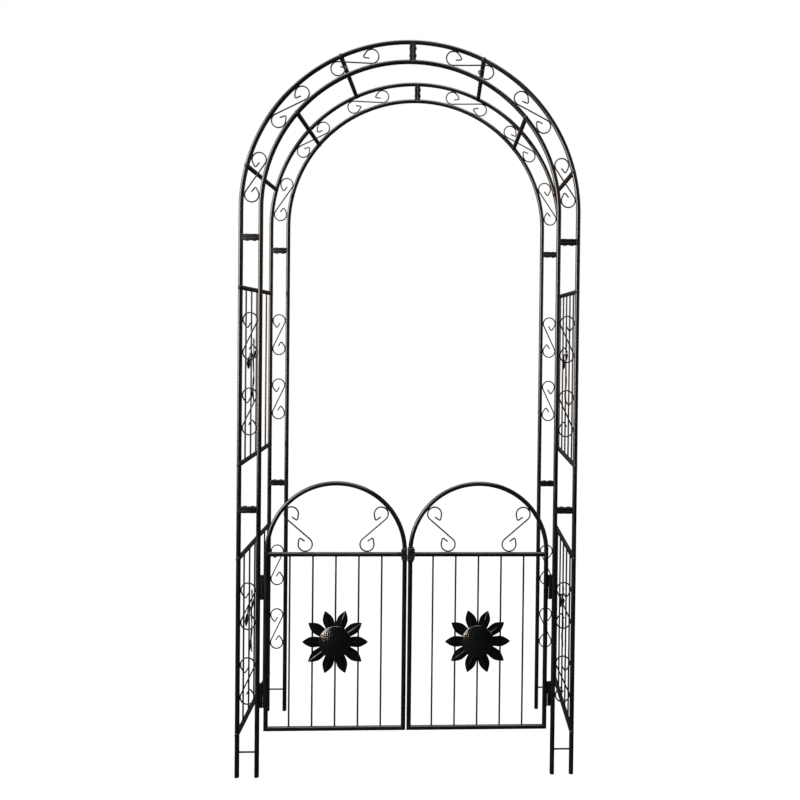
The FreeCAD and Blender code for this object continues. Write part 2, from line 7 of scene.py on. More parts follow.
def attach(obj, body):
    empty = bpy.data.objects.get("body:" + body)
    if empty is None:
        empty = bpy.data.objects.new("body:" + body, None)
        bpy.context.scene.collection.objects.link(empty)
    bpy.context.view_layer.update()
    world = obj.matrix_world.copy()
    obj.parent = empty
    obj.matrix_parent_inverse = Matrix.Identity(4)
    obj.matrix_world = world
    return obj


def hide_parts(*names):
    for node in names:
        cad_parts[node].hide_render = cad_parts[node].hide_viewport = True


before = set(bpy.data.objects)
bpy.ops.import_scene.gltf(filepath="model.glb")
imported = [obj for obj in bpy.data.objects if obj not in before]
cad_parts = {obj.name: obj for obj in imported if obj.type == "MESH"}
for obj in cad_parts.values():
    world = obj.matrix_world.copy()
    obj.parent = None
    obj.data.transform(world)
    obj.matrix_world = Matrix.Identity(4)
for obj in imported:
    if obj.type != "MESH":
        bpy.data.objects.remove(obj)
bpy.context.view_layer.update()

# Lower legs: a front and a rear ladder on each side, of round steel tube, their feet open for ground
# spikes. A square bar welded across the top bolts to the leg above, a thin rod ties the feet, and black
# powder coat covers all of it.
TUBE_RADIUS = 0.0071
BORE_RADIUS = 0.00515
LIP = 0.0003
TUBE_RING = 0.4
OUTER_X = 0.515
INNER_X = 0.455
MIDDLE_X = (OUTER_X + INNER_X) / 2
MID_JOINT_Z = 0.822
FOOT_ROD_Z = 0.077
ROD_RADIUS = 0.0027
JOINT_BAR_HEIGHT = 0.0095
JOINT_BAR_DEPTH = 0.012
BAR_CORNER = 0.0012
BAR_BEAD = 0.0013
FOOT_BEAD = 0.0007
SIDES = {"left": 1, "right": -1}
FRAMES = {"front": -0.193075, "rear": 0.206925}
X_WAY, Y_WAY, Z_WAY = np.eye(3)
FRAME_BLACK = (0.0035, 0.0033, 0.0033)
FRAME_HAZE = (0.009, 0.0078, 0.007)
RUBBED = (0.05, 0.042, 0.035)


def skin(points):
    """Corners and faces of a grid whose columns go round a form.

    Its rows join up where the last is the first again; otherwise a fan to its middle closes each end.
    The faces turn outwards: where the volume that they sweep about the origin is negative, all are turned.
    """
    columns = points.shape[1]
    endless = np.allclose(points[0], points[-1])
    points = points[:-1] if endless else points
    places = np.arange(len(points) * columns).reshape(-1, columns)
    near, far = (places, np.roll(places, -1, 0)) if endless else (places[:-1], places[1:])
    faces = [np.stack([near, np.roll(near, -1, 1), np.roll(far, -1, 1), far], -1).reshape(-1, 4)]
    corners = points.reshape(-1, 3)
    if not endless:
        middle = np.full(columns, len(corners))
        faces.append(np.stack([middle, np.roll(places[0], -1), places[0]], -1))
        faces.append(np.stack([middle + 1, places[-1], np.roll(places[-1], -1)], -1))
        corners = np.vstack([corners, points[0].mean(0), points[-1].mean(0)])
    triangles = np.vstack([faces[0][:, :3], faces[0][:, [0, 2, 3]]] + faces[1:])
    first, second, third = (corners[triangles[:, index]] for index in range(3))
    if np.sum(first * np.cross(second, third)) < 0:
        faces = [face[:, ::-1] for face in faces]
    return corners, faces


def proud_edges(mesh):
    """How far each point stands out from its neighbours: the mean of -(normal . way) over its edges."""
    count = len(mesh.vertices)
    places = np.empty(count * 3, np.float32)
    normals = np.empty(count * 3, np.float32)
    ends = np.empty(len(mesh.edges) * 2, np.int32)
    mesh.vertices.foreach_get("co", places)
    mesh.vertex_normals.foreach_get("vector", normals)
    mesh.edges.foreach_get("vertices", ends)
    places, normals, ends = places.reshape(-1, 3), normals.reshape(-1, 3), ends.reshape(-1, 2)
    ways = places[ends[:, 1]] - places[ends[:, 0]]
    ways /= np.maximum(np.linalg.norm(ways, axis=1, keepdims=True), 1e-9)
    total = np.bincount(ends[:, 0], -(normals[ends[:, 0]] * ways).sum(1), count)
    total += np.bincount(ends[:, 1], (normals[ends[:, 1]] * ways).sum(1), count)
    share = total / np.maximum(np.bincount(ends.ravel(), minlength=count), 1)
    return np.clip((share - 0.12) / 0.3, 0, 1)


def piece(name, grids, body, slot, coat, *nodes, sharp=38):
    """One object made of closed grids, which rides a body and stands for nodes of the solid model."""
    corners, faces, total = [], [], 0
    for grid in grids:
        own_corners, own_faces = skin(np.asarray(grid, float))
        for part in own_faces:
            faces += (part + total).tolist()
        corners.append(own_corners)
        total += len(own_corners)
    mesh = bpy.data.meshes.new(name)
    mesh.from_pydata(np.concatenate(corners).tolist(), [], faces)
    mesh.shade_smooth()
    mesh.set_sharp_from_angle(angle=math.radians(sharp))
    mesh.attributes.new("edge", "FLOAT", "POINT").data.foreach_set("value", proud_edges(mesh))
    mesh.materials.append(coat)
    shape = bpy.data.objects.new(name, mesh)
    bpy.context.scene.collection.objects.link(shape)
    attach(shape, body)
    if nodes:
        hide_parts(*nodes)
    return shape


def piece_pair(name, grids, body, slot, coat, *nodes, sharp=38):
    """A piece of the left side, and its mirror image in x on the right. The side completes its names."""
    for side, hand in SIDES.items():
        mirrored = [np.asarray(grid) * (hand, 1, 1) for grid in grids]
        piece(f"{name}_{side}", mirrored, f"{side}_leaf" if body == "leaf" else body, slot, coat,
              *(f"{node}_{side}" for node in nodes), sharp=sharp)


def round_angles(columns):
    """The angle of each column of a round form: (n + 0.5) / columns of a full turn."""
    return 2 * np.pi * (np.arange(columns) + 0.5) / columns


def rings(centres, radii, side, level, columns=24):
    """A section carried along a line: centre + radius * (cos a * side + sin a * level)."""
    centres = np.asarray(centres, float)
    radii = np.asarray(radii, float)
    radii = (radii if radii.ndim == 2 else radii.reshape(-1, 1)) * np.ones((len(centres), columns))
    angles = round_angles(columns)
    side = np.broadcast_to(side, centres.shape)[:, None]
    level = np.broadcast_to(level, centres.shape)[:, None]
    ring = np.cos(angles)[:, None] * side + np.sin(angles)[:, None] * level
    return centres[:, None] + radii[..., None] * ring


def turned(start, way, profile, columns=24):
    """A turned form: each (distance along the way, radius) of its profile is a ring about the way."""
    along, radii = np.array(profile, float).T
    way = np.asarray(way, float)
    side = np.cross(way, X_WAY if abs(way[0]) < 0.7 else Y_WAY)
    side /= np.linalg.norm(side)
    return rings(start + along[:, None] * way, radii, side, np.cross(way, side), columns)


def coped_bar(start, end, across, run, radius, carrier=TUBE_RADIUS, columns=24):
    """A round bar from the middle of one round carrier to the middle of another, cut to saddle on both.

    A point at angle a of its section starts sqrt(carrier^2 - (radius * cos a)^2) from the carrier's middle.
    """
    start, end = np.asarray(start, float), np.asarray(end, float)
    length = np.linalg.norm(end - start)
    way = (end - start) / length
    angles = round_angles(columns)
    cut = np.sqrt(np.maximum(carrier ** 2 - (radius * np.cos(angles)) ** 2, 0)) - 0.0002
    share = np.array([0, 0.0015, 0.05, 0.5, 0.95, 0.9985, 1])[:, None]
    along = cut + share * (length - 2 * cut)
    section = radius * (np.cos(angles)[:, None] * across + np.sin(angles)[:, None] * run)
    return start + section + along[..., None] * way


def squared_bar(start, end, side, level, half_side, half_level, corner, columns=24):
    """A bar of rounded rectangular section whose ends are rounded over too.

    Each ring is a rectangle shrunk by the corner radius plus a circle. Near an end the circle's radius is
    corner * sin f at a distance corner * (1 - cos f) from it.
    """
    start, end = np.asarray(start, float), np.asarray(end, float)
    length = np.linalg.norm(end - start)
    angles = round_angles(columns)
    core = (np.sign(np.cos(angles))[:, None] * side * (half_side - corner)
            + np.sign(np.sin(angles))[:, None] * level * (half_level - corner))
    circle = np.cos(angles)[:, None] * side + np.sin(angles)[:, None] * level
    turn = np.radians([20, 45, 68, 90])
    inset = corner * (1 - np.cos(turn))
    along = np.concatenate([inset, length - inset[::-1]]) / length
    radii = corner * np.concatenate([np.sin(turn), np.sin(turn)[::-1]])
    return start + along[:, None, None] * (end - start) + core + radii[:, None, None] * circle


def weld(centre, way, section, across, thickness, carrier=TUBE_RADIUS):
    """A weld bead where a section meets a round carrier: a small round, carried round the section's line.

    Its line lies sqrt(carrier^2 - offset^2) from the carrier's middle, and its radius is thickness *
    (0.8 + 0.28 * |sin(1.9 n)|) at its n-th point, so that it swells with each puddle.
    """
    depth = np.sqrt(np.maximum(carrier ** 2 - (section @ across) ** 2, 0))
    line = centre + section + depth[:, None] * way
    out = section / np.linalg.norm(section, axis=1, keepdims=True)
    puddles = thickness * (0.8 + 0.28 * np.abs(np.sin(np.arange(len(line)) * 1.9)))
    order = np.r_[np.arange(len(line)), 0]
    return rings(line[order], puddles[order], out[order], way, 6)


def end_welds(start, end, way, section, across, thickness, carrier=TUBE_RADIUS):
    """The weld beads at both ends of a bar that runs along the way from one round carrier to another."""
    return [weld(start, way, section, across, thickness, carrier),
            weld(end, -way, section, across, thickness, carrier)]


def round_section(radius, side, level, count=16):
    """Points on a circle about the origin: radius * (cos a * side + sin a * level)."""
    angles = 2 * np.pi * np.arange(count)[:, None] / count
    return radius * (np.cos(angles) * side + np.sin(angles) * level)


def joint_bar(y, low):
    """The bar across the end of a section, from the middle of one tube to the middle of the other."""
    outer, inner = ((-x, y, low + JOINT_BAR_HEIGHT / 2) for x in (OUTER_X, INNER_X))
    bar = squared_bar(outer, inner, Y_WAY, Z_WAY, JOINT_BAR_DEPTH / 2, JOINT_BAR_HEIGHT / 2, BAR_CORNER)
    return [bar] + end_welds(outer, inner, X_WAY, bar[4] - bar[4].mean(0), Y_WAY, BAR_BEAD)


def coat_group():
    """Powder coat on steel: a cloudy shade, the orange peel of its surface, and a mask of rubbed edges."""
    group = bpy.data.node_groups.new("powder_coat", "ShaderNodeTree")
    for name, kind in (("Place", "NodeSocketVector"), ("Edge", "NodeSocketFloat"),
                       ("Peel Scale", "NodeSocketFloat"), ("Rub", "NodeSocketFloat")):
        group.interface.new_socket(name, in_out="INPUT", socket_type=kind)
    for name in ("Cloud", "Peel", "Rubbed"):
        group.interface.new_socket(name, in_out="OUTPUT", socket_type="NodeSocketFloat")
    nodes, links = group.nodes, group.links
    given = nodes.new("NodeGroupInput")
    found = nodes.new("NodeGroupOutput")
    cloud = nodes.new("ShaderNodeTexNoise")
    cloud.inputs["Scale"].default_value = 11
    cloud.inputs["Detail"].default_value = 5
    spread = nodes.new("ShaderNodeMapRange")
    spread.inputs["From Min"].default_value = 0.32
    spread.inputs["From Max"].default_value = 0.68
    peel = nodes.new("ShaderNodeTexNoise")
    peel.inputs["Detail"].default_value = 2
    chips = nodes.new("ShaderNodeTexNoise")
    chips.inputs["Scale"].default_value = 170
    chips.inputs["Detail"].default_value = 6
    reach = nodes.new("ShaderNodeMath")
    reach.operation = "MULTIPLY_ADD"
    reach.inputs[2].default_value = -0.62
    lift = nodes.new("ShaderNodeMath")
    lift.operation = "ADD"
    crisp = nodes.new("ShaderNodeMapRange")
    crisp.inputs["From Min"].default_value = 0.32
    crisp.inputs["From Max"].default_value = 0.5
    for noise in (cloud, peel, chips):
        links.new(given.outputs["Place"], noise.inputs["Vector"])
    links.new(given.outputs["Peel Scale"], peel.inputs["Scale"])
    links.new(cloud.outputs["Fac"], spread.inputs["Value"])
    links.new(given.outputs["Edge"], reach.inputs[0])
    links.new(given.outputs["Rub"], reach.inputs[1])
    links.new(reach.outputs[0], lift.inputs[0])
    links.new(chips.outputs["Fac"], lift.inputs[1])
    links.new(lift.outputs[0], crisp.inputs["Value"])
    links.new(spread.outputs["Result"], found.inputs["Cloud"])
    links.new(peel.outputs["Fac"], found.inputs["Peel"])
    links.new(crisp.outputs["Result"], found.inputs["Rubbed"])
    return group


powder_coat = coat_group()


def coated(name, black, haze, rubbed, roughness, peel_scale, peel_depth, rub=0.62, shine=0.4):
    """Coated steel: its colour drifts from black to haze, and shows a rubbed tone along proud edges."""
    material = bpy.data.materials.new(name)
    material.use_nodes = True
    nodes, links = material.node_tree.nodes, material.node_tree.links
    surface = nodes["Principled BSDF"]
    place = nodes.new("ShaderNodeTexCoord")
    edge = nodes.new("ShaderNodeAttribute")
    edge.attribute_name = "edge"
    coat = nodes.new("ShaderNodeGroup")
    coat.node_tree = powder_coat
    coat.inputs["Peel Scale"].default_value = peel_scale
    coat.inputs["Rub"].default_value = rub
    tone = nodes.new("ShaderNodeMix")
    tone.data_type = "RGBA"
    tone.inputs["A"].default_value = (*black, 1)
    tone.inputs["B"].default_value = (*haze, 1)
    worn = nodes.new("ShaderNodeMix")
    worn.data_type = "RGBA"
    worn.inputs["B"].default_value = (*rubbed, 1)
    gloss = nodes.new("ShaderNodeMapRange")
    gloss.inputs["To Min"].default_value = roughness - 0.06
    gloss.inputs["To Max"].default_value = roughness + 0.08
    bump = nodes.new("ShaderNodeBump")
    bump.inputs["Strength"].default_value = 0.6
    bump.inputs["Distance"].default_value = peel_depth
    surface.inputs["Specular IOR Level"].default_value = shine
    links.new(place.outputs["Object"], coat.inputs["Place"])
    links.new(edge.outputs["Fac"], coat.inputs["Edge"])
    links.new(coat.outputs["Cloud"], tone.inputs["Factor"])
    links.new(tone.outputs["Result"], worn.inputs["A"])
    links.new(coat.outputs["Rubbed"], worn.inputs["Factor"])
    links.new(worn.outputs["Result"], surface.inputs["Base Color"])
    links.new(coat.outputs["Cloud"], gloss.inputs["Value"])
    links.new(gloss.outputs["Result"], surface.inputs["Roughness"])
    links.new(coat.outputs["Peel"], bump.inputs["Height"])
    links.new(bump.outputs["Normal"], surface.inputs["Normal"])
    return material


frame_coat = coated("frame_coat", FRAME_BLACK, FRAME_HAZE, RUBBED, 0.26, 700, 0.00003, shine=0.62)

for frame_name, y in FRAMES.items():
    grids = joint_bar(y, MID_JOINT_Z - JOINT_BAR_HEIGHT)
    for x in (OUTER_X, INNER_X):
        pipe = ((0, BORE_RADIUS), (0, TUBE_RADIUS - LIP), (LIP, TUBE_RADIUS), (TUBE_RING, TUBE_RADIUS),
                (MID_JOINT_Z - LIP, TUBE_RADIUS), (MID_JOINT_Z, TUBE_RADIUS - LIP),
                (MID_JOINT_Z, BORE_RADIUS), (0, BORE_RADIUS))
        grids.append(turned((-x, y, 0), Z_WAY, pipe))
    low, high = (-OUTER_X, y, FOOT_ROD_Z), (-INNER_X, y, FOOT_ROD_Z)
    grids.append(coped_bar(low, high, Y_WAY, Z_WAY, ROD_RADIUS, columns=12))
    grids += end_welds(low, high, X_WAY, round_section(ROD_RADIUS, Y_WAY, Z_WAY), Y_WAY, FOOT_BEAD)
    piece_pair(f"lower_leg_tubes_{frame_name}", grids, "arch", "frame_paint", frame_coat,
               f"lower_leg_{frame_name}")

# Upper legs: the same ladder without feet. Narrowed spigots under it plug into the tubes of the lower
# leg, and a bar at each end is bolted to the bar of its neighbour.
UPPER_JOINT_Z = 1.653
SPIGOT_LENGTH = 0.025
SPIGOT_RADIUS = 0.005
SPIGOT_CHAMFER = 0.0006

for frame_name, y in FRAMES.items():
    grids = joint_bar(y, MID_JOINT_Z) + joint_bar(y, UPPER_JOINT_Z - JOINT_BAR_HEIGHT)
    height = UPPER_JOINT_Z - MID_JOINT_Z
    for x in (OUTER_X, INNER_X):
        tube = ((-SPIGOT_LENGTH, SPIGOT_RADIUS - SPIGOT_CHAMFER),
                (SPIGOT_CHAMFER - SPIGOT_LENGTH, SPIGOT_RADIUS), (0, SPIGOT_RADIUS),
                (0, TUBE_RADIUS - LIP), (LIP, TUBE_RADIUS), (TUBE_RING, TUBE_RADIUS),
                (height - LIP, TUBE_RADIUS), (height, TUBE_RADIUS - LIP), (height, BORE_RADIUS),
                (JOINT_BAR_HEIGHT, BORE_RADIUS))
        grids.append(turned((-x, y, MID_JOINT_Z), Z_WAY, tube))
    piece_pair(f"upper_leg_tubes_{frame_name}", grids, "arch", "frame_paint", frame_coat,
               f"upper_leg_{frame_name}")

# Arch sections: each is two tubes rolled to a quarter round, with spigots that plug into the leg. The
# halves meet at the crown, where a short bar on each is bolted to the other.
SPRING_Z = 1.74
BEND_STEPS = 72
STUB_RING = 0.04
STRUT_BEAD = 0.0014

for frame_name, y in FRAMES.items():
    grids = joint_bar(y, UPPER_JOINT_Z)
    for x in (OUTER_X, INNER_X):
        bend = np.linspace(np.pi, np.pi / 2, BEND_STEPS + 1)
        sweep = np.concatenate([np.full(5, np.pi), bend])
        out = np.stack([np.cos(sweep), 0 * sweep, np.sin(sweep)], -1)
        rise = np.full(len(sweep), SPRING_Z)
        rise[:5] = UPPER_JOINT_Z + np.array([-SPIGOT_LENGTH, 0, 0, LIP, STUB_RING])
        radii = np.full(len(sweep), TUBE_RADIUS)
        radii[:3] = SPIGOT_RADIUS, SPIGOT_RADIUS, TUBE_RADIUS - LIP
        line = x * out * (1, 0, 1) + np.stack([0 * rise, 0 * rise + y, rise], -1)
        grids.append(rings(line, radii, out, Y_WAY))
    strut_x = -JOINT_BAR_HEIGHT / 2
    low, high = (strut_x, y, SPRING_Z + INNER_X), (strut_x, y, SPRING_Z + OUTER_X)
    strut = squared_bar(low, high, X_WAY, Y_WAY, JOINT_BAR_HEIGHT / 2, JOINT_BAR_DEPTH / 2, BAR_CORNER)
    grids += [strut] + end_welds(low, high, Z_WAY, strut[4] - strut[4].mean(0), Y_WAY, STRUT_BEAD)
    piece_pair(f"arch_tubes_{frame_name}", grids, "arch", "frame_paint", frame_coat,
               f"arch_section_{frame_name}")

# Joint bolts: two 6 mm bolts through each pair of bars, with a low domed head on one side and a
# washer and a hexagon nut on the other. They are zinc plated and blackened.
BOLT_OFFSET = 0.011
BOLT_RADIUS = 0.003
NUT_HEIGHT = 0.0016
NUT_FLAT = 0.0048
NUT_FACE = 0.005
WASHER = 0.0004
BOLT_END = 0.0003
bolt_coat = coated("bolt_coat", (0.008, 0.0076, 0.0074), (0.02, 0.0185, 0.017), (0.11, 0.1, 0.09),
                   0.28, 1500, 0.00004, 0.75)


def domed_bolt(start, way, length):
    """A turned bolt: a domed head behind the start, its shank along the way and a chamfered end."""
    return turned(start, way, ((-0.0012, 0.0012), (-0.0011, 0.0028), (-0.0008, 0.0042), (-0.0003, 0.005),
                               (0, 0.0052), (0, BOLT_RADIUS), (length - 0.0006, BOLT_RADIUS),
                               (length, BOLT_RADIUS - 0.0006)))


def washer_and_nut(start, way):
    """A washer and a hexagon nut on it, whose radius is NUT_FLAT / cos(angle from the middle of its flat).

    The nut's corners are turned off at both faces, where the radius is held to NUT_FACE.
    """
    washer = turned(start, way, ((0, 0.0032), (0, 0.0056), (0.0001, 0.0057), (WASHER - 0.0001, 0.0057),
                                 (WASHER, 0.0056), (WASHER, 0.0032)))
    angles = round_angles(24)
    flats = NUT_FLAT / np.cos((angles + np.pi / 6) % (np.pi / 3) - np.pi / 6)
    faces = np.minimum(flats, NUT_FACE)
    nut = turned(start, way, ((WASHER, 1), (WASHER + 0.0004, 1), (WASHER + NUT_HEIGHT - 0.0004, 1),
                              (WASHER + NUT_HEIGHT, 1)))
    middle = nut.mean(1, keepdims=True)
    radii = np.stack([faces, flats, flats, faces])[..., None]
    return [washer, middle + (nut - middle) * radii]


def bolted(middle, way):
    """A bolt with its washer and nut through two joint bars that meet at the middle."""
    length = 2 * JOINT_BAR_HEIGHT + WASHER + NUT_HEIGHT + BOLT_END
    return [domed_bolt(middle - JOINT_BAR_HEIGHT * way, way, length),
            *washer_and_nut(middle + JOINT_BAR_HEIGHT * way, way)]


for frame_name, y in FRAMES.items():
    joint_bolts, crown_bolts = [], []
    for offset in (-BOLT_OFFSET, BOLT_OFFSET):
        for joint, way in ((MID_JOINT_Z, Z_WAY), (UPPER_JOINT_Z, -Z_WAY)):
            joint_bolts += bolted(np.array([offset - MIDDLE_X, y, joint]), way)
        crown_bolts += bolted(np.array([0, y, SPRING_Z + MIDDLE_X + offset]), X_WAY)
    piece_pair(f"joint_bolts_{frame_name}", joint_bolts, "arch", "fitting_paint", bolt_coat)
    piece(f"crown_bolts_{frame_name}", crown_bolts, "arch", "fitting_paint", bolt_coat)

# Scrolls of the legs and the arch: an S of thin wire whose ends are curled round and hooked in, bent
# cold on a jig and tack-welded to the tubes on both sides of each curl.
WIRE_RADIUS = 0.0022
LEG_SCROLL_REACH = 0.1
LEG_SCROLL_PITCH = 0.23
CURL_EDGE = 0.02355
CURL_TURN = 239
HOOK_TURN = 116
HOOK_RADIUS = 0.0036
HOOK_RUN = 0.012
HOOK_END = 0.015
TACK_RADIUS = 0.0029
TACK_REACH = 0.0048
ARCH_SCROLL_ANGLE = 40
ARCH_SCROLL_PITCH = 28.65
ARCH_SCROLL_SWEEP = 13
# The brown tint of this coat is a painted warm reflection: the wires and rods wear the same black coat as the
# frame.
wire_painted_reflection_coat = coated("wire_painted_reflection_coat", (0.006, 0.0042, 0.004), (0.016, 0.0095, 0.0085), (0.05, 0.037, 0.032),
                   0.3, 1200, 0.00003, shine=0.5)


def bent_wire(line, radii):
    """Round wire along a line in an XZ plane."""
    ways = np.gradient(line, axis=0)
    ways /= np.linalg.norm(ways, axis=1, keepdims=True)
    return rings(line, radii, np.cross(Y_WAY, ways), Y_WAY, 10)


def scroll_wire(reach, edge, turn, middle, y):
    """A scroll in the XZ plane, turned from upright towards +X in degrees, about its middle.

    Half of it is a heading summed along its length, from the middle out: a straight, a wide bend to the
    left, a short run, a tight bend and an end. The other half is the same, turned half round.
    """
    radius = edge - WIRE_RADIUS
    lengths = (math.sqrt(reach ** 2 / 4 - radius ** 2), radius * math.radians(CURL_TURN), HOOK_RUN,
               HOOK_RADIUS * math.radians(HOOK_TURN), HOOK_END)
    bends = (0, math.radians(CURL_TURN), 0, math.radians(HOOK_TURN), 0)
    steps = (8, 44, 4, 12, 6)
    heading = math.pi / 2 - math.asin(radius * 2 / reach)
    length = np.repeat(np.divide(lengths, steps), steps)
    bend = np.repeat(np.divide(bends, steps), steps)
    headings = heading + np.cumsum(bend) - bend / 2
    half = np.cumsum(np.stack([np.cos(headings), np.sin(headings)], -1) * length[:, None], axis=0)
    flat = np.vstack([-half[::-1], [[0, 0]], half])
    lean = math.radians(turn)
    x = flat[:, 0] * math.cos(lean) + flat[:, 1] * math.sin(lean)
    z = flat[:, 1] * math.cos(lean) - flat[:, 0] * math.sin(lean)
    radii = np.full(len(flat), WIRE_RADIUS)
    radii[[0, -1]] = WIRE_RADIUS * 0.8
    return bent_wire(np.stack([middle[0] + x, 0 * x + y, middle[1] + z], -1), radii)


def tack(place, way, half_length):
    """A tack weld: a lump turned about the way, of radius TACK_RADIUS * sqrt(1 - share^2)."""
    share = np.linspace(-0.94, 0.94, 7)
    profile = np.stack([share * half_length, TACK_RADIUS * np.sqrt(1 - share ** 2)], -1)
    return turned(np.asarray(place, float), way, profile, 8)


def tacks(reach, edge, turn, middle, y):
    """The tack welds of one scroll, at both sides of both curls."""
    lean = math.radians(turn)
    up = np.array([math.sin(lean), 0, math.cos(lean)])
    side = np.array([math.cos(lean), 0, -math.sin(lean)])
    centre = np.array([middle[0], y, middle[1]])
    return [tack(centre + share * up * reach / 2 + hand * side * edge, up, TACK_REACH)
            for share in (-1, 1) for hand in (-1, 1)]


for frame_name, y in FRAMES.items():
    for name, low, high in (("upper", MID_JOINT_Z, UPPER_JOINT_Z), ("lower", 0, MID_JOINT_Z)):
        grids = []
        for rise in (-LEG_SCROLL_PITCH / 2, LEG_SCROLL_PITCH / 2):
            middle = (-MIDDLE_X, (low + high) / 2 + rise)
            grids.append(scroll_wire(LEG_SCROLL_REACH, CURL_EDGE, 0, middle, y))
            grids += tacks(LEG_SCROLL_REACH, CURL_EDGE, 0, middle, y)
        piece_pair(f"{name}_leg_wires_{frame_name}", grids, "arch", "ornament_paint", wire_painted_reflection_coat,
                   f"{name}_leg_scrolls_{frame_name}")
    grids = []
    half_sweep = math.radians(ARCH_SCROLL_SWEEP / 2)
    for index in (-1, 0, 1):
        turn = ARCH_SCROLL_ANGLE + index * ARCH_SCROLL_PITCH
        lean = math.radians(turn)
        reach = 2 * MIDDLE_X * math.sin(half_sweep)
        foot = MIDDLE_X * math.cos(half_sweep)
        middle = (-foot * math.cos(lean), SPRING_Z + foot * math.sin(lean))
        grids.append(scroll_wire(reach, CURL_EDGE, turn, middle, y))
        grids += tacks(reach, CURL_EDGE, turn, middle, y)
    piece_pair(f"arch_wires_{frame_name}", grids, "arch", "ornament_paint", wire_painted_reflection_coat,
               f"arch_scrolls_{frame_name}")

# Cross bars: straight tubes between the front and rear arches, their ends cut to saddle on the tubes.
# A domed bolt through each tube screws into the end of the bar. Their coat is painted lighter and browner
# than the rest, a painted warm reflection: the real bars wear the same black coat.
CROSS_BARS = {"crown": (65, OUTER_X), "shoulder": (40, INNER_X), "spring": (14.5, OUTER_X)}
FRONT_Y, REAR_Y = FRAMES.values()
bar_coat = coated("bar_coat", (0.018, 0.0075, 0.009), (0.03, 0.014, 0.016), RUBBED, 0.26, 700, 0.00003,
                  shine=0.62)


def cross_tube(x, z, across):
    """A tube between the front and rear tubes at one place, whose ends saddle on them."""
    return coped_bar((x, FRONT_Y, z), (x, REAR_Y, z), across, np.cross(Y_WAY, across), TUBE_RADIUS)


def bar_bolts(x, z):
    """The domed heads of the bolts through the front and rear tubes, each seated in a dished washer."""
    profile = ((-0.0022, 0.0066), (-0.0004, 0.0066), (0.0001, 0.0062), (0.0003, 0.0052), (0.001, 0.005),
               (0.0017, 0.0042), (0.0022, 0.0029), (0.0024, 0.0012))
    return [turned((x, FRONT_Y - TUBE_RADIUS, z), -Y_WAY, profile),
            turned((x, REAR_Y + TUBE_RADIUS, z), Y_WAY, profile)]


for name, (angle, radius) in CROSS_BARS.items():
    lean = math.radians(angle)
    across = np.array([-math.cos(lean), 0, math.sin(lean)])
    place = (radius * across[0], SPRING_Z + radius * across[2])
    piece_pair(f"{name}_cross_tube", [cross_tube(*place, across)], "arch", "frame_paint", bar_coat,
               f"cross_bar_{name}")
    piece_pair(f"{name}_bar_bolts", bar_bolts(*place), "arch", "fitting_paint", bolt_coat)

# Side panels: two cross bars with five thin rods welded between them, one panel above the other on
# each side, bolted between the outer tubes of the front and rear legs.
PANEL_HEIGHT = 0.54
PANEL_FEET = {"upper": 0.96, "lower": 0.132}
PANEL_RODS = 5
ROD_BEAD = 0.0008


def upright_rods(places, low, high, across, run, carrier=TUBE_RADIUS):
    """Thin rods between two round bars, each with a small bead round both of its ends."""
    grids = []
    for x, y in places:
        start, end = (x, y, low), (x, y, high)
        ring = round_section(ROD_RADIUS, across, run)
        grids.append(coped_bar(start, end, across, run, ROD_RADIUS, carrier, 12))
        grids += end_welds(start, end, Z_WAY, ring, across, ROD_BEAD, carrier)
    return grids


for name, foot in PANEL_FEET.items():
    bars = [cross_tube(-OUTER_X, height, X_WAY) for height in (foot, foot + PANEL_HEIGHT)]
    bolts = bar_bolts(-OUTER_X, foot) + bar_bolts(-OUTER_X, foot + PANEL_HEIGHT)
    spots = [(-OUTER_X, FRONT_Y + (REAR_Y - FRONT_Y) * (index + 1) / (PANEL_RODS + 1))
             for index in range(PANEL_RODS)]
    rods = upright_rods(spots, foot, foot + PANEL_HEIGHT, X_WAY, Y_WAY)
    piece_pair(f"{name}_panel_tubes", bars, "arch", "frame_paint", frame_coat, f"panel_bars_{name}")
    piece_pair(f"{name}_panel_bolts", bolts, "arch", "fitting_paint", bolt_coat)
    piece_pair(f"{name}_panel_uprights", rods, "arch", "frame_paint", wire_painted_reflection_coat, f"panel_rods_{name}")

# Roses on the side panels: a stem and a branch of round wire, leaves cut from sheet and creased along
# the middle, and a flower of three cupped layers round a bud. All of it is welded outside the rods.
SHEET = 0.0012
STEM_RISE = 0.096
STEM_OFFSET = 0.018
ROSE_OFFSET = 0.076
ROSE_RISE = 0.034
ROSE_RADIUS = 0.02
LEAF_LENGTH = 0.046
LEAF_WIDTH = 0.017
MID_DEPTH = (FRONT_Y + REAR_Y) / 2
ROSE_BLACK = (0.0022, 0.0023, 0.0026)
ROSE_HAZE = (0.0048, 0.0048, 0.0049)
ROSE_RUBBED = (0.07, 0.064, 0.06)
rose_coat = coated("rose_coat", ROSE_BLACK, ROSE_HAZE, ROSE_RUBBED, 0.32, 700, 0.0001, 0.66, 0.3)


def smooth_line(points, steps=10):
    """A line through points, bent smoothly.

    The cubic of each span leaves and meets its ends along the chord between their neighbours.
    """
    points = np.asarray(points, float)
    padded = np.vstack([2 * points[0] - points[1], points, 2 * points[-1] - points[-2]])
    before, start, end, after = padded[:-3], padded[1:-2], padded[2:-1], padded[3:]
    share = np.linspace(0, 1, steps, endpoint=False)[:, None, None]
    spans = 0.5 * (2 * start + (end - before) * share
                   + (2 * before - 5 * start + 4 * end - after) * share ** 2
                   + (3 * start - before - 3 * end + after) * share ** 3)
    return np.vstack([spans.transpose(1, 0, 2).reshape(-1, points.shape[1]), points[-1:]])


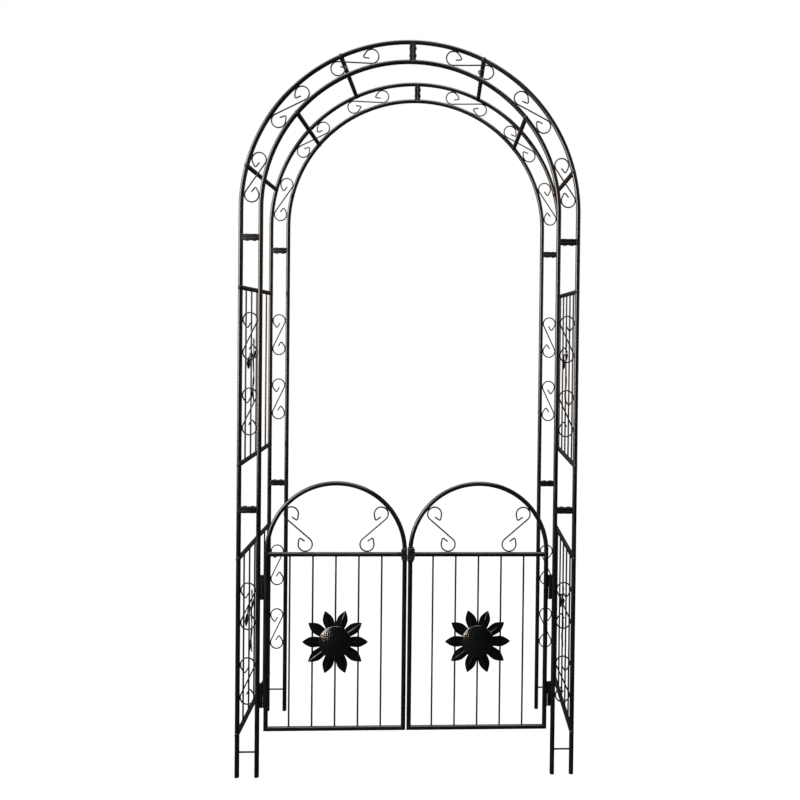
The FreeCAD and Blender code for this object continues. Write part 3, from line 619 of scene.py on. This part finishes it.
def blade(start, heading, length, half_width, crease, lift, root, rib=0.0008, rows=24):
    """A pointed sheet leaf as (along, out, up), its heading in degrees from along towards up.

    Its half width is half_width * (1 - root * u^2) up to its widest place and half_width * (1 - u^1.7)
    beyond it, where u is the share of the way from there to its end. Its face stands crease * (1 - |v|) +
    rib * exp(-(v / 0.11)^2) above its edge, less near the tip, which bends out by lift * s^2.
    """
    share = np.linspace(0.004, 0.992, rows)[:, None]
    beyond = share > 0.55
    from_widest = np.where(beyond, (share - 0.55) / 0.45, (0.55 - share) / 0.55)
    width = half_width * np.where(beyond, 1 - from_widest ** 1.7, 1 - root * from_widest ** 2)
    face = np.array([-1, -0.75, -0.48, -0.26, -0.16, -0.08, 0, 0.08, 0.16, 0.26, 0.48, 0.75, 1])[None]
    taper = np.minimum(1, 2.2 * (1 - share) + 0.1)
    ridge = (crease * (1 - np.abs(face)) + rib * np.exp(-(face / 0.11) ** 2)) * taper + lift * share ** 2
    front = np.stack([share * length + 0 * face, ridge + SHEET, width * face], -1)
    back = np.stack([share * length + 0 * face, ridge, width * face], -1)[:, ::-1]
    sheet = np.concatenate([front, back], axis=1)
    lean = math.radians(heading)
    along = sheet[..., 0] * math.cos(lean) - sheet[..., 2] * math.sin(lean)
    up = sheet[..., 0] * math.sin(lean) + sheet[..., 2] * math.cos(lean)
    return np.stack([start[0] + along, sheet[..., 1], start[1] + up], -1)


def cup(centre, radius, back, height, lobes, turn, rim=0.2):
    """One layer of the flower: a sheet that rises by height * share^2 towards its rim.

    The rim lies at radius * (1 - rim * (1 - |cos(lobes * (a + turn) / 2)|^0.6)) at angle a.
    """
    angles = np.linspace(0, 2 * np.pi, 60, endpoint=False)
    outline = radius * (1 - rim * (1 - np.abs(np.cos(lobes * (angles + turn) / 2)) ** 0.6))
    share = np.array([0.05, 0.3, 0.55, 0.78, 0.93, 1])[:, None]
    rise = back + height * share ** 2 - 0.12 * height * share ** 8 + 0 * angles
    flat = np.stack([centre[0] + share * outline * np.cos(angles), rise,
                     centre[1] + share * outline * np.sin(angles)], -1)
    return np.concatenate([flat, (flat + (0, SHEET * 0.8, 0))[::-1]])


def rose():
    """The whole ornament as (towards the front, outwards, up) from the middle of its panel."""
    stem = smooth_line([(STEM_OFFSET - 0.004, -STEM_RISE), (STEM_OFFSET + 0.006, -STEM_RISE / 2),
                        (STEM_OFFSET - 0.002, 0), (STEM_OFFSET + 0.002, STEM_RISE / 2),
                        (STEM_OFFSET - 0.002, STEM_RISE)])
    branch = smooth_line([(STEM_OFFSET - 0.002, 0), (STEM_OFFSET + 0.016, ROSE_RISE * 1.7),
                          (ROSE_OFFSET - 0.012, ROSE_RISE * 1.9), (ROSE_OFFSET, ROSE_RISE)])
    grids = []
    for line in (stem, branch):
        route = np.stack([line[:, 0], 0 * line[:, 0] + 0.0015, line[:, 1]], -1)
        grids.append(bent_wire(route, np.linspace(0.0021, 0.0016, len(route))))
    node, upper, tip = stem[10], stem[30], stem[-1]
    grids += [
        blade(node, 105, LEAF_LENGTH, LEAF_WIDTH / 2, 0.0025, 0.0015, 0.95),
        blade(node, -60, LEAF_LENGTH, LEAF_WIDTH / 2, 0.0025, 0.0015, 0.95),
        blade(upper, 140, LEAF_LENGTH * 0.8, LEAF_WIDTH / 2, 0.0025, 0.0015, 0.95),
        blade(tip - (0, 0.004), 80, LEAF_LENGTH * 0.5, LEAF_WIDTH * 0.35, 0.002, 0.001, 0.95),
    ]
    head = (ROSE_OFFSET, ROSE_RISE)
    for radius, back, height, lobes, turn in ((1, 0, 0.0028, 5, 0), (0.78, 0.0012, 0.0032, 5, 0.63),
                                              (0.56, 0.0024, 0.0036, 5, 0.2), (0.34, 0.0034, 0.0036, 3, 0.5)):
        grids.append(cup(head, ROSE_RADIUS * radius, back, height, lobes, turn))
    bud = ((0.002, 0.0012), (0.004, 0.0024), (0.0058, 0.0026), (0.0068, 0.0016), (0.0071, 0.0006))
    grids.append(turned((head[0], 0, head[1]), Y_WAY, bud, 16))
    return grids


for name, foot in PANEL_FEET.items():
    for side, hand in SIDES.items():
        grids = [np.stack([-hand * (OUTER_X + ROD_RADIUS + grid[..., 1]), MID_DEPTH - hand * grid[..., 0],
                           foot + PANEL_HEIGHT / 2 + grid[..., 2]], -1) for grid in rose()]
        piece(f"{name}_rose_{side}", grids, "arch", "ornament_paint", rose_coat, f"panel_rose_{name}_{side}")

# Gate leaves: a closed frame of slightly thinner tube, its top rolled to a half round and its foot
# mitred square, with a middle rail and five thin rods welded between the rails.
LEAF_CENTRE_X = 0.218825
LEAF_RADIUS = 0.2102
LEAF_TUBE_RADIUS = 0.0069
LEAF_SPRING_Z = 0.6935
BOTTOM_RAIL_Z = 0.148
MID_RAIL_Z = 0.6855
GATE_RODS = 5
RAIL_BEAD = 0.0009

bend = np.linspace(np.pi, 0, 97)
out = np.stack([np.cos(bend), 0 * bend, np.sin(bend)], -1)
top = np.array([-LEAF_CENTRE_X, FRONT_Y, LEAF_SPRING_Z]) + LEAF_RADIUS * out
foot = np.array([[-LEAF_CENTRE_X + LEAF_RADIUS, FRONT_Y, BOTTOM_RAIL_Z],
                 [-LEAF_CENTRE_X - LEAF_RADIUS, FRONT_Y, BOTTOM_RAIL_Z]])
line = np.vstack([top, foot, top[:1]])
bow = rings(line, LEAF_TUBE_RADIUS, np.vstack([out, [[1, 0, -1], [-1, 0, -1]], out[:1]]), Y_WAY)
ends = [np.array([-LEAF_CENTRE_X + hand * LEAF_RADIUS, FRONT_Y, MID_RAIL_Z]) for hand in (-1, 1)]
rail = round_section(LEAF_TUBE_RADIUS, Y_WAY, Z_WAY, 32)
grids = [bow, coped_bar(*ends, Y_WAY, Z_WAY, LEAF_TUBE_RADIUS, LEAF_TUBE_RADIUS)]
grids += end_welds(*ends, X_WAY, rail, Y_WAY, RAIL_BEAD, LEAF_TUBE_RADIUS)
spots = [(-LEAF_CENTRE_X + LEAF_RADIUS * (2 * (index + 1) / (GATE_RODS + 1) - 1), FRONT_Y)
         for index in range(GATE_RODS)]
rods = upright_rods(spots, BOTTOM_RAIL_Z, MID_RAIL_Z, Y_WAY, X_WAY, LEAF_TUBE_RADIUS)
piece_pair("gate_frame", grids, "leaf", "frame_paint", frame_coat, "leaf_frame")
piece_pair("gate_rods", rods, "leaf", "frame_paint", wire_painted_reflection_coat, "leaf_rods")

# Gate scrolls: two of the same wire scrolls, each standing on the middle rail and leaning out until its
# upper curl meets the bow of the leaf.
GATE_SCROLL_REACH = 0.103
GATE_SCROLL_SPREAD = 0.224
GATE_TACK_REACH = 0.0045
CURL_CLEARANCE = 0.0001
BOW_INSIDE = LEAF_RADIUS - LEAF_TUBE_RADIUS

low = np.array([2 * LEAF_RADIUS * GATE_SCROLL_SPREAD,
                MID_RAIL_Z + LEAF_TUBE_RADIUS + CURL_EDGE + CURL_CLEARANCE - LEAF_SPRING_Z])
low_distance = np.hypot(*low)
top_distance = BOW_INSIDE - CURL_EDGE - CURL_CLEARANCE
along = (top_distance ** 2 - GATE_SCROLL_REACH ** 2 + low_distance ** 2) / (2 * low_distance)
beside = math.sqrt(top_distance ** 2 - along ** 2)
high = (low * along + np.array([-low[1], low[0]]) * beside) / low_distance
lean = math.degrees(math.atan2(*(high - low)))
middle = (low + high) / 2 + (0, LEAF_SPRING_Z)
half = [scroll_wire(GATE_SCROLL_REACH, CURL_EDGE, lean, middle, FRONT_Y),
        tack((low[0], FRONT_Y, MID_RAIL_Z + LEAF_TUBE_RADIUS), X_WAY, GATE_TACK_REACH)]
out = high / np.hypot(*high)
touch = out * BOW_INSIDE
half.append(tack((touch[0], FRONT_Y, LEAF_SPRING_Z + touch[1]), (-out[1], 0, out[0]), GATE_TACK_REACH))
grids = [grid * (hand, 1, 1) - (LEAF_CENTRE_X, 0, 0) for grid in half for hand in (1, -1)]
piece_pair("gate_wires", grids, "leaf", "ornament_paint", wire_painted_reflection_coat, "leaf_scrolls")

# Sunflowers on the gate: ten petals pressed from sheet with a ridge along each, and a hammered dome
# welded over their feet. The flower is welded to the front of the three middle rods.
PETALS = 10
PETAL_TIP = 0.101
PETAL_FOOT = 0.03
PETAL_HALF_WIDTH = 0.0165
PETAL_CREASE = 0.003
PETAL_RIB = 0.0017
DISC_RADIUS = 0.05
DOME_HEIGHT = 0.0155
DENT_STRAY = 0.0007
GOLDEN_TURN = 2.39996
FLOWER_Y = FRONT_Y - ROD_RADIUS
FLOWER_Z = (BOTTOM_RAIL_Z + MID_RAIL_Z) / 2
flower_coat = coated("flower_coat", ROSE_BLACK, ROSE_HAZE, ROSE_RUBBED, 0.18, 620, 0.00006, 0.66, 0.3)
disc_coat = coated("hammered_coat", ROSE_BLACK, (0.0045, 0.0045, 0.0046), ROSE_RUBBED, 0.13, 300, 0.0002,
                   0.5, 0.75)


def on_leaf(grid):
    """A form drawn as (across, out, up) about the flower's middle, put on the front of the left leaf."""
    return np.stack([grid[..., 0] - LEAF_CENTRE_X, FLOWER_Y - grid[..., 1], FLOWER_Z + grid[..., 2]], -1)


def hammered_dome(radius, back, height, dents=230, dent=0.0048, depth=0.0014):
    """A low dome beaten all over: back + height * (1 - share^2)^0.75, less depth * (1 - (gap / dent)^2).

    The gap is to the nearest of many places on a spiral, the n-th at sqrt(n) out and GOLDEN_TURN on from
    the one before it, each a little off.
    """
    angles = np.linspace(0, 2 * np.pi, 240, endpoint=False)
    share = np.sin(np.linspace(0.008, np.pi / 2, 84))[:, None]
    across, up = radius * share * np.cos(angles), radius * share * np.sin(angles)
    spiral = np.arange(dents)
    spot = radius * 0.97 * np.sqrt((spiral + 0.5) / dents)
    spot_x = spot * np.cos(spiral * GOLDEN_TURN) + DENT_STRAY * np.sin(spiral * 12.9)
    spot_z = spot * np.sin(spiral * GOLDEN_TURN) + DENT_STRAY * np.sin(spiral * 7.3)
    gap = np.min(np.hypot(across[..., None] - spot_x, up[..., None] - spot_z), axis=-1)
    dents_here = depth * np.maximum(1 - (gap / dent) ** 2, 0) * (1 - share ** 6)
    out = back + height * np.maximum(1 - share ** 2, 0) ** 0.75 - dents_here
    dome = np.stack([across, out, up], -1)
    rolled = np.stack([across[-1], 0 * across[-1] + back - 0.0009, up[-1]], -1)[None]
    under = np.stack([across[-1] * 0.9, 0 * across[-1] + back - 0.0004, up[-1] * 0.9], -1)[None]
    return np.concatenate([dome, rolled, under])


grids = [turned((0, 0, 0), Y_WAY, ((0, 0.034), (0, 0.035), (0.0042, 0.035), (0.0042, 0.034)), 40)]
for index in range(PETALS):
    turn = math.radians(360 * index / PETALS)
    foot = (PETAL_FOOT * math.cos(turn), PETAL_FOOT * math.sin(turn))
    grids.append(blade(foot, math.degrees(turn), PETAL_TIP - PETAL_FOOT, PETAL_HALF_WIDTH, PETAL_CREASE,
                       0.002 * (1 + math.sin(index * 2.3)), 0.4, PETAL_RIB, 34))
piece_pair("sunflower_petals", [on_leaf(grid) for grid in grids], "leaf", "ornament_paint", flower_coat,
           "flower_petals")
dome = hammered_dome(DISC_RADIUS, SHEET + PETAL_CREASE, DOME_HEIGHT)
piece_pair("sunflower_dome", [on_leaf(dome)], "leaf", "ornament_paint", disc_coat, "flower_disc", sharp=60)

# Hinges: lift-off barrels 75 mm tall, two to a leaf. The lower half of each barrel and its pin are
# welded to the post, the upper half to the leaf, both by a strip and a short web.
PIN_X = 0.44265
HINGE_HEIGHT = 0.075
HINGE_Z = (0.584, 0.251)
HINGE_STRIP_WIDTH = 0.008
STRIP_BED = 0.001
BARREL_RADIUS = 0.0045
BARREL_LIP = 0.0005
PIN_RADIUS = 0.0022
PIN_CLEARANCE = 0.00005
BODY_GAP = 0.0003
fitting_coat = coated("fitting_coat", (0.003, 0.003, 0.0031), (0.007, 0.0068, 0.0066), (0.08, 0.072, 0.064),
                      0.38, 520, 0.0002, 0.8)


def hinge_half(face, toward, height, low, high, cap):
    """A strip bedded in the face of its tube, a web and a half barrel with rounded lips."""
    strip_x = face + toward * (SHEET / 2 - STRIP_BED)
    strip = squared_bar((strip_x, FRONT_Y, height - HINGE_HEIGHT / 2),
                        (strip_x, FRONT_Y, height + HINGE_HEIGHT / 2),
                        X_WAY, Y_WAY, SHEET / 2 + STRIP_BED, HINGE_STRIP_WIDTH / 2, 0.0006)
    web_x = (face - PIN_X) / 2
    web = squared_bar((web_x, FRONT_Y, low + BARREL_LIP), (web_x, FRONT_Y, high - BARREL_LIP), X_WAY, Y_WAY,
                      abs(face + PIN_X) / 2, PIN_RADIUS, BARREL_LIP)
    tall = high - low
    barrel = turned((-PIN_X, FRONT_Y, low), Z_WAY,
                    ((0, cap), (0, BARREL_RADIUS - BARREL_LIP), (BARREL_LIP, BARREL_RADIUS),
                     (tall / 2, BARREL_RADIUS), (tall - BARREL_LIP, BARREL_RADIUS),
                     (tall, BARREL_RADIUS - BARREL_LIP), (tall, cap), (0, cap)))
    return [strip, web, barrel]


posts, sleeves = [], []
for height in HINGE_Z:
    foot = height - HINGE_HEIGHT / 2
    posts += hinge_half(-INNER_X + TUBE_RADIUS, 1, height, foot, height, PIN_RADIUS * 0.98)
    posts.append(turned((-PIN_X, FRONT_Y, foot), Z_WAY,
                        ((-0.0008, 0.001), (-0.0005, 0.0018), (0, PIN_RADIUS), (HINGE_HEIGHT, PIN_RADIUS),
                         (HINGE_HEIGHT + 0.0006, 0.0018), (HINGE_HEIGHT + 0.001, 0.0009)), 16))
    sleeves += hinge_half(-LEAF_CENTRE_X - LEAF_RADIUS - LEAF_TUBE_RADIUS, -1, height, height + BODY_GAP,
                          height + HINGE_HEIGHT / 2, PIN_RADIUS + PIN_CLEARANCE)
piece_pair("hinge_posts", posts, "arch", "fitting_paint", fitting_coat, "hinge_post_halves")
piece_pair("hinge_sleeves", sleeves, "leaf", "fitting_paint", fitting_coat, "hinge_leaf_halves")

# Latch: a cast case on the left leaf and a cast keeper on the right leaf, each ribbed and screwed to its
# stile, with a round bolt drawn back in the case and a knob at its tail.
LATCH_BACK = FRONT_Y
LATCH_FRONT = -0.210935
LATCH_Z = 0.6875
LATCH_HEIGHT = 0.042
LATCH_GAP = 0.0008
CASE_WIDTH = 0.015
KEEPER_WIDTH = 0.019
SLIDE_Y = -0.205137
SLIDE_Z = 0.691
SLIDE_RADIUS = 0.004
SLIDE_BORE = 0.0043
SLIDE_TAIL = 0.017
SLIDE_CHAMFER = 0.0008
BLOCK_CORNER = 0.0022
KEEPER_DEPTH = 0.014
SCREW_RISES = (-0.0128, 0.015)
cast_coat = coated("cast_coat", (0.003, 0.003, 0.0031), (0.007, 0.0068, 0.0066), (0.08, 0.073, 0.065),
                   0.36, 420, 0.0004, 0.85)


def latch_block(mouth_x, far_x, bored):
    """A block with rounded edges about a round hole along X.

    Rings of the hole and of the block's outline share their columns, and the outline is a rectangle
    shrunk by its corner radius plus a circle.
    """
    columns = 48
    angles = round_angles(columns)
    middle = np.array([(LATCH_FRONT + LATCH_BACK) / 2, LATCH_Z])
    half = np.array([(LATCH_BACK - LATCH_FRONT) / 2, LATCH_HEIGHT / 2]) - BLOCK_CORNER
    circle = np.stack([np.cos(angles), np.sin(angles)], -1)
    hole = np.array([SLIDE_Y, SLIDE_Z]) + circle * SLIDE_BORE
    way = 1 if far_x > mouth_x else -1
    turn = np.radians([25, 50, 70, 90])
    rounding = list(zip(BLOCK_CORNER * (1 - np.cos(turn)), BLOCK_CORNER * np.sin(turn)))
    rows = [(mouth_x + way * bored, hole), (mouth_x, hole)]
    for inset, swell in rounding:
        rows.append((mouth_x + way * inset, middle + np.sign(circle) * half + circle * swell))
    for inset, swell in rounding[::-1]:
        rows.append((far_x - way * inset, middle + np.sign(circle) * half + circle * swell))
    if bored >= abs(far_x - mouth_x):
        rows += [(far_x, hole), rows[0]]
    return np.stack([np.column_stack([np.full(columns, x), outline]) for x, outline in rows])


def collars(mouth_x, way, width):
    """Rounded collars cast round a block above and below its bolt, longer the nearer they are to it."""
    depth = (LATCH_BACK - LATCH_FRONT) / 2
    return [squared_bar((mouth_x + way * inset, LATCH_FRONT + depth, LATCH_Z + rise),
                        (mouth_x + way * (width + extra), LATCH_FRONT + depth, LATCH_Z + rise),
                        Y_WAY, Z_WAY, depth + 0.0008, 0.0028, 0.002)
            for rise, inset, extra in ((-0.0172, -0.0004, -0.0006), (-0.011, -0.0005, 0.0024),
                                       (-0.0048, -0.0005, 0.0036), (0.0122, 0.001, 0.0032),
                                       (0.0182, 0.0014, -0.0004))]


def block_screw(x, z):
    """A pan-head screw in the front of a cast block."""
    return turned((x, LATCH_FRONT, z), -Y_WAY, ((-0.001, 0.0031), (0.0005, 0.0031), (0.0012, 0.0026),
                                                (0.0017, 0.0016), (0.0018, 0.0006)), 20)


case_middle = -LATCH_GAP - CASE_WIDTH / 2
keeper_middle = LATCH_GAP + KEEPER_WIDTH / 2
grids = [latch_block(-LATCH_GAP - CASE_WIDTH, -LATCH_GAP, CASE_WIDTH)]
grids += collars(-LATCH_GAP, -1, CASE_WIDTH)
piece("latch_case_block", grids, "left_leaf", "fitting_paint", cast_coat, "latch_case")
grids = [latch_block(LATCH_GAP, LATCH_GAP + KEEPER_WIDTH, KEEPER_DEPTH)]
grids += collars(LATCH_GAP, 1, KEEPER_WIDTH)
boss = np.array([LATCH_GAP + KEEPER_WIDTH, SLIDE_Y, SLIDE_Z])
grids.append(turned(boss, X_WAY, ((-0.001, 0.0052), (0.0032, 0.0052), (0.004, 0.0044)), 6))
piece("latch_keeper_block", grids, "right_leaf", "fitting_paint", cast_coat, "latch_keeper")
for name, body, x in (("case", "left_leaf", case_middle), ("keeper", "right_leaf", keeper_middle)):
    piece(f"latch_{name}_screws", [block_screw(x, LATCH_Z + rise) for rise in SCREW_RISES], body,
          "fitting_paint", bolt_coat)
tail = np.array([-LATCH_GAP - CASE_WIDTH - SLIDE_TAIL, SLIDE_Y, SLIDE_Z])
slide = CASE_WIDTH + SLIDE_TAIL - BODY_GAP
grids = [turned(tail, X_WAY, ((0, 0.0034), (0.0004, 0.0046), (0.0013, 0.0052), (0.0047, 0.0052),
                              (0.0056, 0.0046), (0.006, SLIDE_RADIUS), (slide - SLIDE_CHAMFER, SLIDE_RADIUS),
                              (slide, SLIDE_RADIUS - SLIDE_CHAMFER)))]
piece("latch_slide", grids, "latch_bolt", "fitting_paint", bolt_coat, "latch_bolt")

# Studio: two soft lamps on the left, a narrow one on the right and a large one overhead. Floor and
# surround show white to the camera, but are dim in what the coats mirror, so black steel stays black.
FLOOR_REACH = 90
floor_corners = [(x * FLOOR_REACH, y * FLOOR_REACH, 0) for x, y in ((-1, -1), (1, -1), (1, 1), (-1, 1))]
floor_mesh = bpy.data.meshes.new("floor")
floor_mesh.from_pydata(floor_corners, [], [(0, 1, 2, 3)])
floor = bpy.data.objects.new("floor", floor_mesh)
bpy.context.scene.collection.objects.link(floor)
floor_paint = bpy.data.materials.new("floor_paint")
floor_paint.use_nodes = True
nodes, links = floor_paint.node_tree.nodes, floor_paint.node_tree.links
surface = nodes["Principled BSDF"]
surface.inputs["Base Color"].default_value = (0.03, 0.032, 0.039, 1)
surface.inputs["Roughness"].default_value = 0.9
surface.inputs["Specular IOR Level"].default_value = 0.1
glow = nodes.new("ShaderNodeEmission")
seen = nodes.new("ShaderNodeLightPath")
both = nodes.new("ShaderNodeAddShader")
links.new(seen.outputs["Is Camera Ray"], glow.inputs["Strength"])
links.new(surface.outputs[0], both.inputs[0])
links.new(glow.outputs[0], both.inputs[1])
links.new(both.outputs[0], nodes["Material Output"].inputs["Surface"])
floor_mesh.materials.append(floor_paint)

world = bpy.data.worlds.new("studio")
bpy.context.scene.world = world
world.use_nodes = True
nodes, links = world.node_tree.nodes, world.node_tree.links
light = nodes["Background"]
light.inputs["Color"].default_value = (1, 1, 1, 1)
light.inputs["Strength"].default_value = 0.2
mirrored = nodes.new("ShaderNodeBackground")
shown = nodes.new("ShaderNodeBackground")
shown.inputs["Color"].default_value = (1, 1, 1, 1)
way = nodes.new("ShaderNodeTexCoord")
parts = nodes.new("ShaderNodeSeparateXYZ")
behind = nodes.new("ShaderNodeMapRange")
behind.inputs["From Min"].default_value = -0.25
behind.inputs["From Max"].default_value = 0.75
behind.inputs["To Min"].default_value = 0.03
behind.inputs["To Max"].default_value = 0.11
ray = nodes.new("ShaderNodeLightPath")
gloss = nodes.new("ShaderNodeMixShader")
clear = nodes.new("ShaderNodeMath")
clear.operation = "MAXIMUM"
mix = nodes.new("ShaderNodeMixShader")
links.new(way.outputs["Generated"], parts.inputs[0])
links.new(parts.outputs["Y"], behind.inputs["Value"])
links.new(behind.outputs["Result"], mirrored.inputs["Strength"])
links.new(ray.outputs["Is Glossy Ray"], gloss.inputs[0])
links.new(light.outputs[0], gloss.inputs[1])
links.new(mirrored.outputs[0], gloss.inputs[2])
links.new(ray.outputs["Is Camera Ray"], clear.inputs[0])
links.new(ray.outputs["Is Transmission Ray"], clear.inputs[1])
links.new(clear.outputs[0], mix.inputs[0])
links.new(gloss.outputs[0], mix.inputs[1])
links.new(shown.outputs[0], mix.inputs[2])
links.new(mix.outputs[0], nodes["World Output"].inputs["Surface"])


def soft_lamp(name, place, width, height, power, colour, level=1.1, spread=180):
    """A rectangular soft lamp that faces the middle line of the arch at one level, in a cone of light."""
    lamp = bpy.data.lights.new(name, "AREA")
    lamp.shape = "RECTANGLE"
    lamp.size, lamp.size_y = width, height
    lamp.energy = power
    lamp.color = colour
    lamp.spread = math.radians(spread)
    holder = bpy.data.objects.new(name, lamp)
    holder.location = place
    holder.rotation_euler = (Vector((0, 0, level)) - Vector(place)).to_track_quat("-Z", "Y").to_euler()
    bpy.context.scene.collection.objects.link(holder)


soft_lamp("left_lamp", (-2.85, -1.6, 1.85), 2.1, 2.4, 72, (1, 0.87, 0.77), 1.95, 100)
soft_lamp("upper_left_lamp", (-2.5, -1.25, 3.0), 2.4, 1.2, 60, (0.86, 0.93, 1))
soft_lamp("right_lamp", (3.0, -1.0, 2.0), 0.6, 2.6, 8, (1, 0.94, 0.88))
soft_lamp("top_lamp", (-0.2, 0, 3.6), 2.8, 2.8, 140, (0.82, 0.91, 1))

# Camera: a 34 mm lens 2.3 m in front of the gate and 1.4 m up, turned and rolled a little, and shifted
# so that the arch stands in the middle of the frame.
CAMERA_PLACE = (0.107, -2.5, 1.386)
YAW, PITCH, ROLL = (math.radians(angle) for angle in (2.23, 0.74, 0.66))
aim = np.array([math.sin(YAW) * math.cos(PITCH), math.cos(YAW) * math.cos(PITCH), -math.sin(PITCH)])
flat_right = np.array([math.cos(YAW), -math.sin(YAW), 0])
flat_up = np.cross(flat_right, aim)
right = flat_right * math.cos(ROLL) + flat_up * math.sin(ROLL)
up = flat_up * math.cos(ROLL) - flat_right * math.sin(ROLL)
lens = bpy.data.cameras.new("camera")
lens.sensor_width = 36
lens.lens = 33.75
lens.shift_x = -0.0924
lens.shift_y = -0.0785
camera = bpy.data.objects.new("camera", lens)
stand = np.eye(4)
stand[:3, :3] = np.stack([right, up, -aim], -1)
stand[:3, 3] = CAMERA_PLACE
camera.matrix_world = Matrix(stand.tolist())
bpy.context.scene.collection.objects.link(camera)
bpy.context.scene.camera = camera
bpy.context.scene.view_settings.view_transform = "Standard"
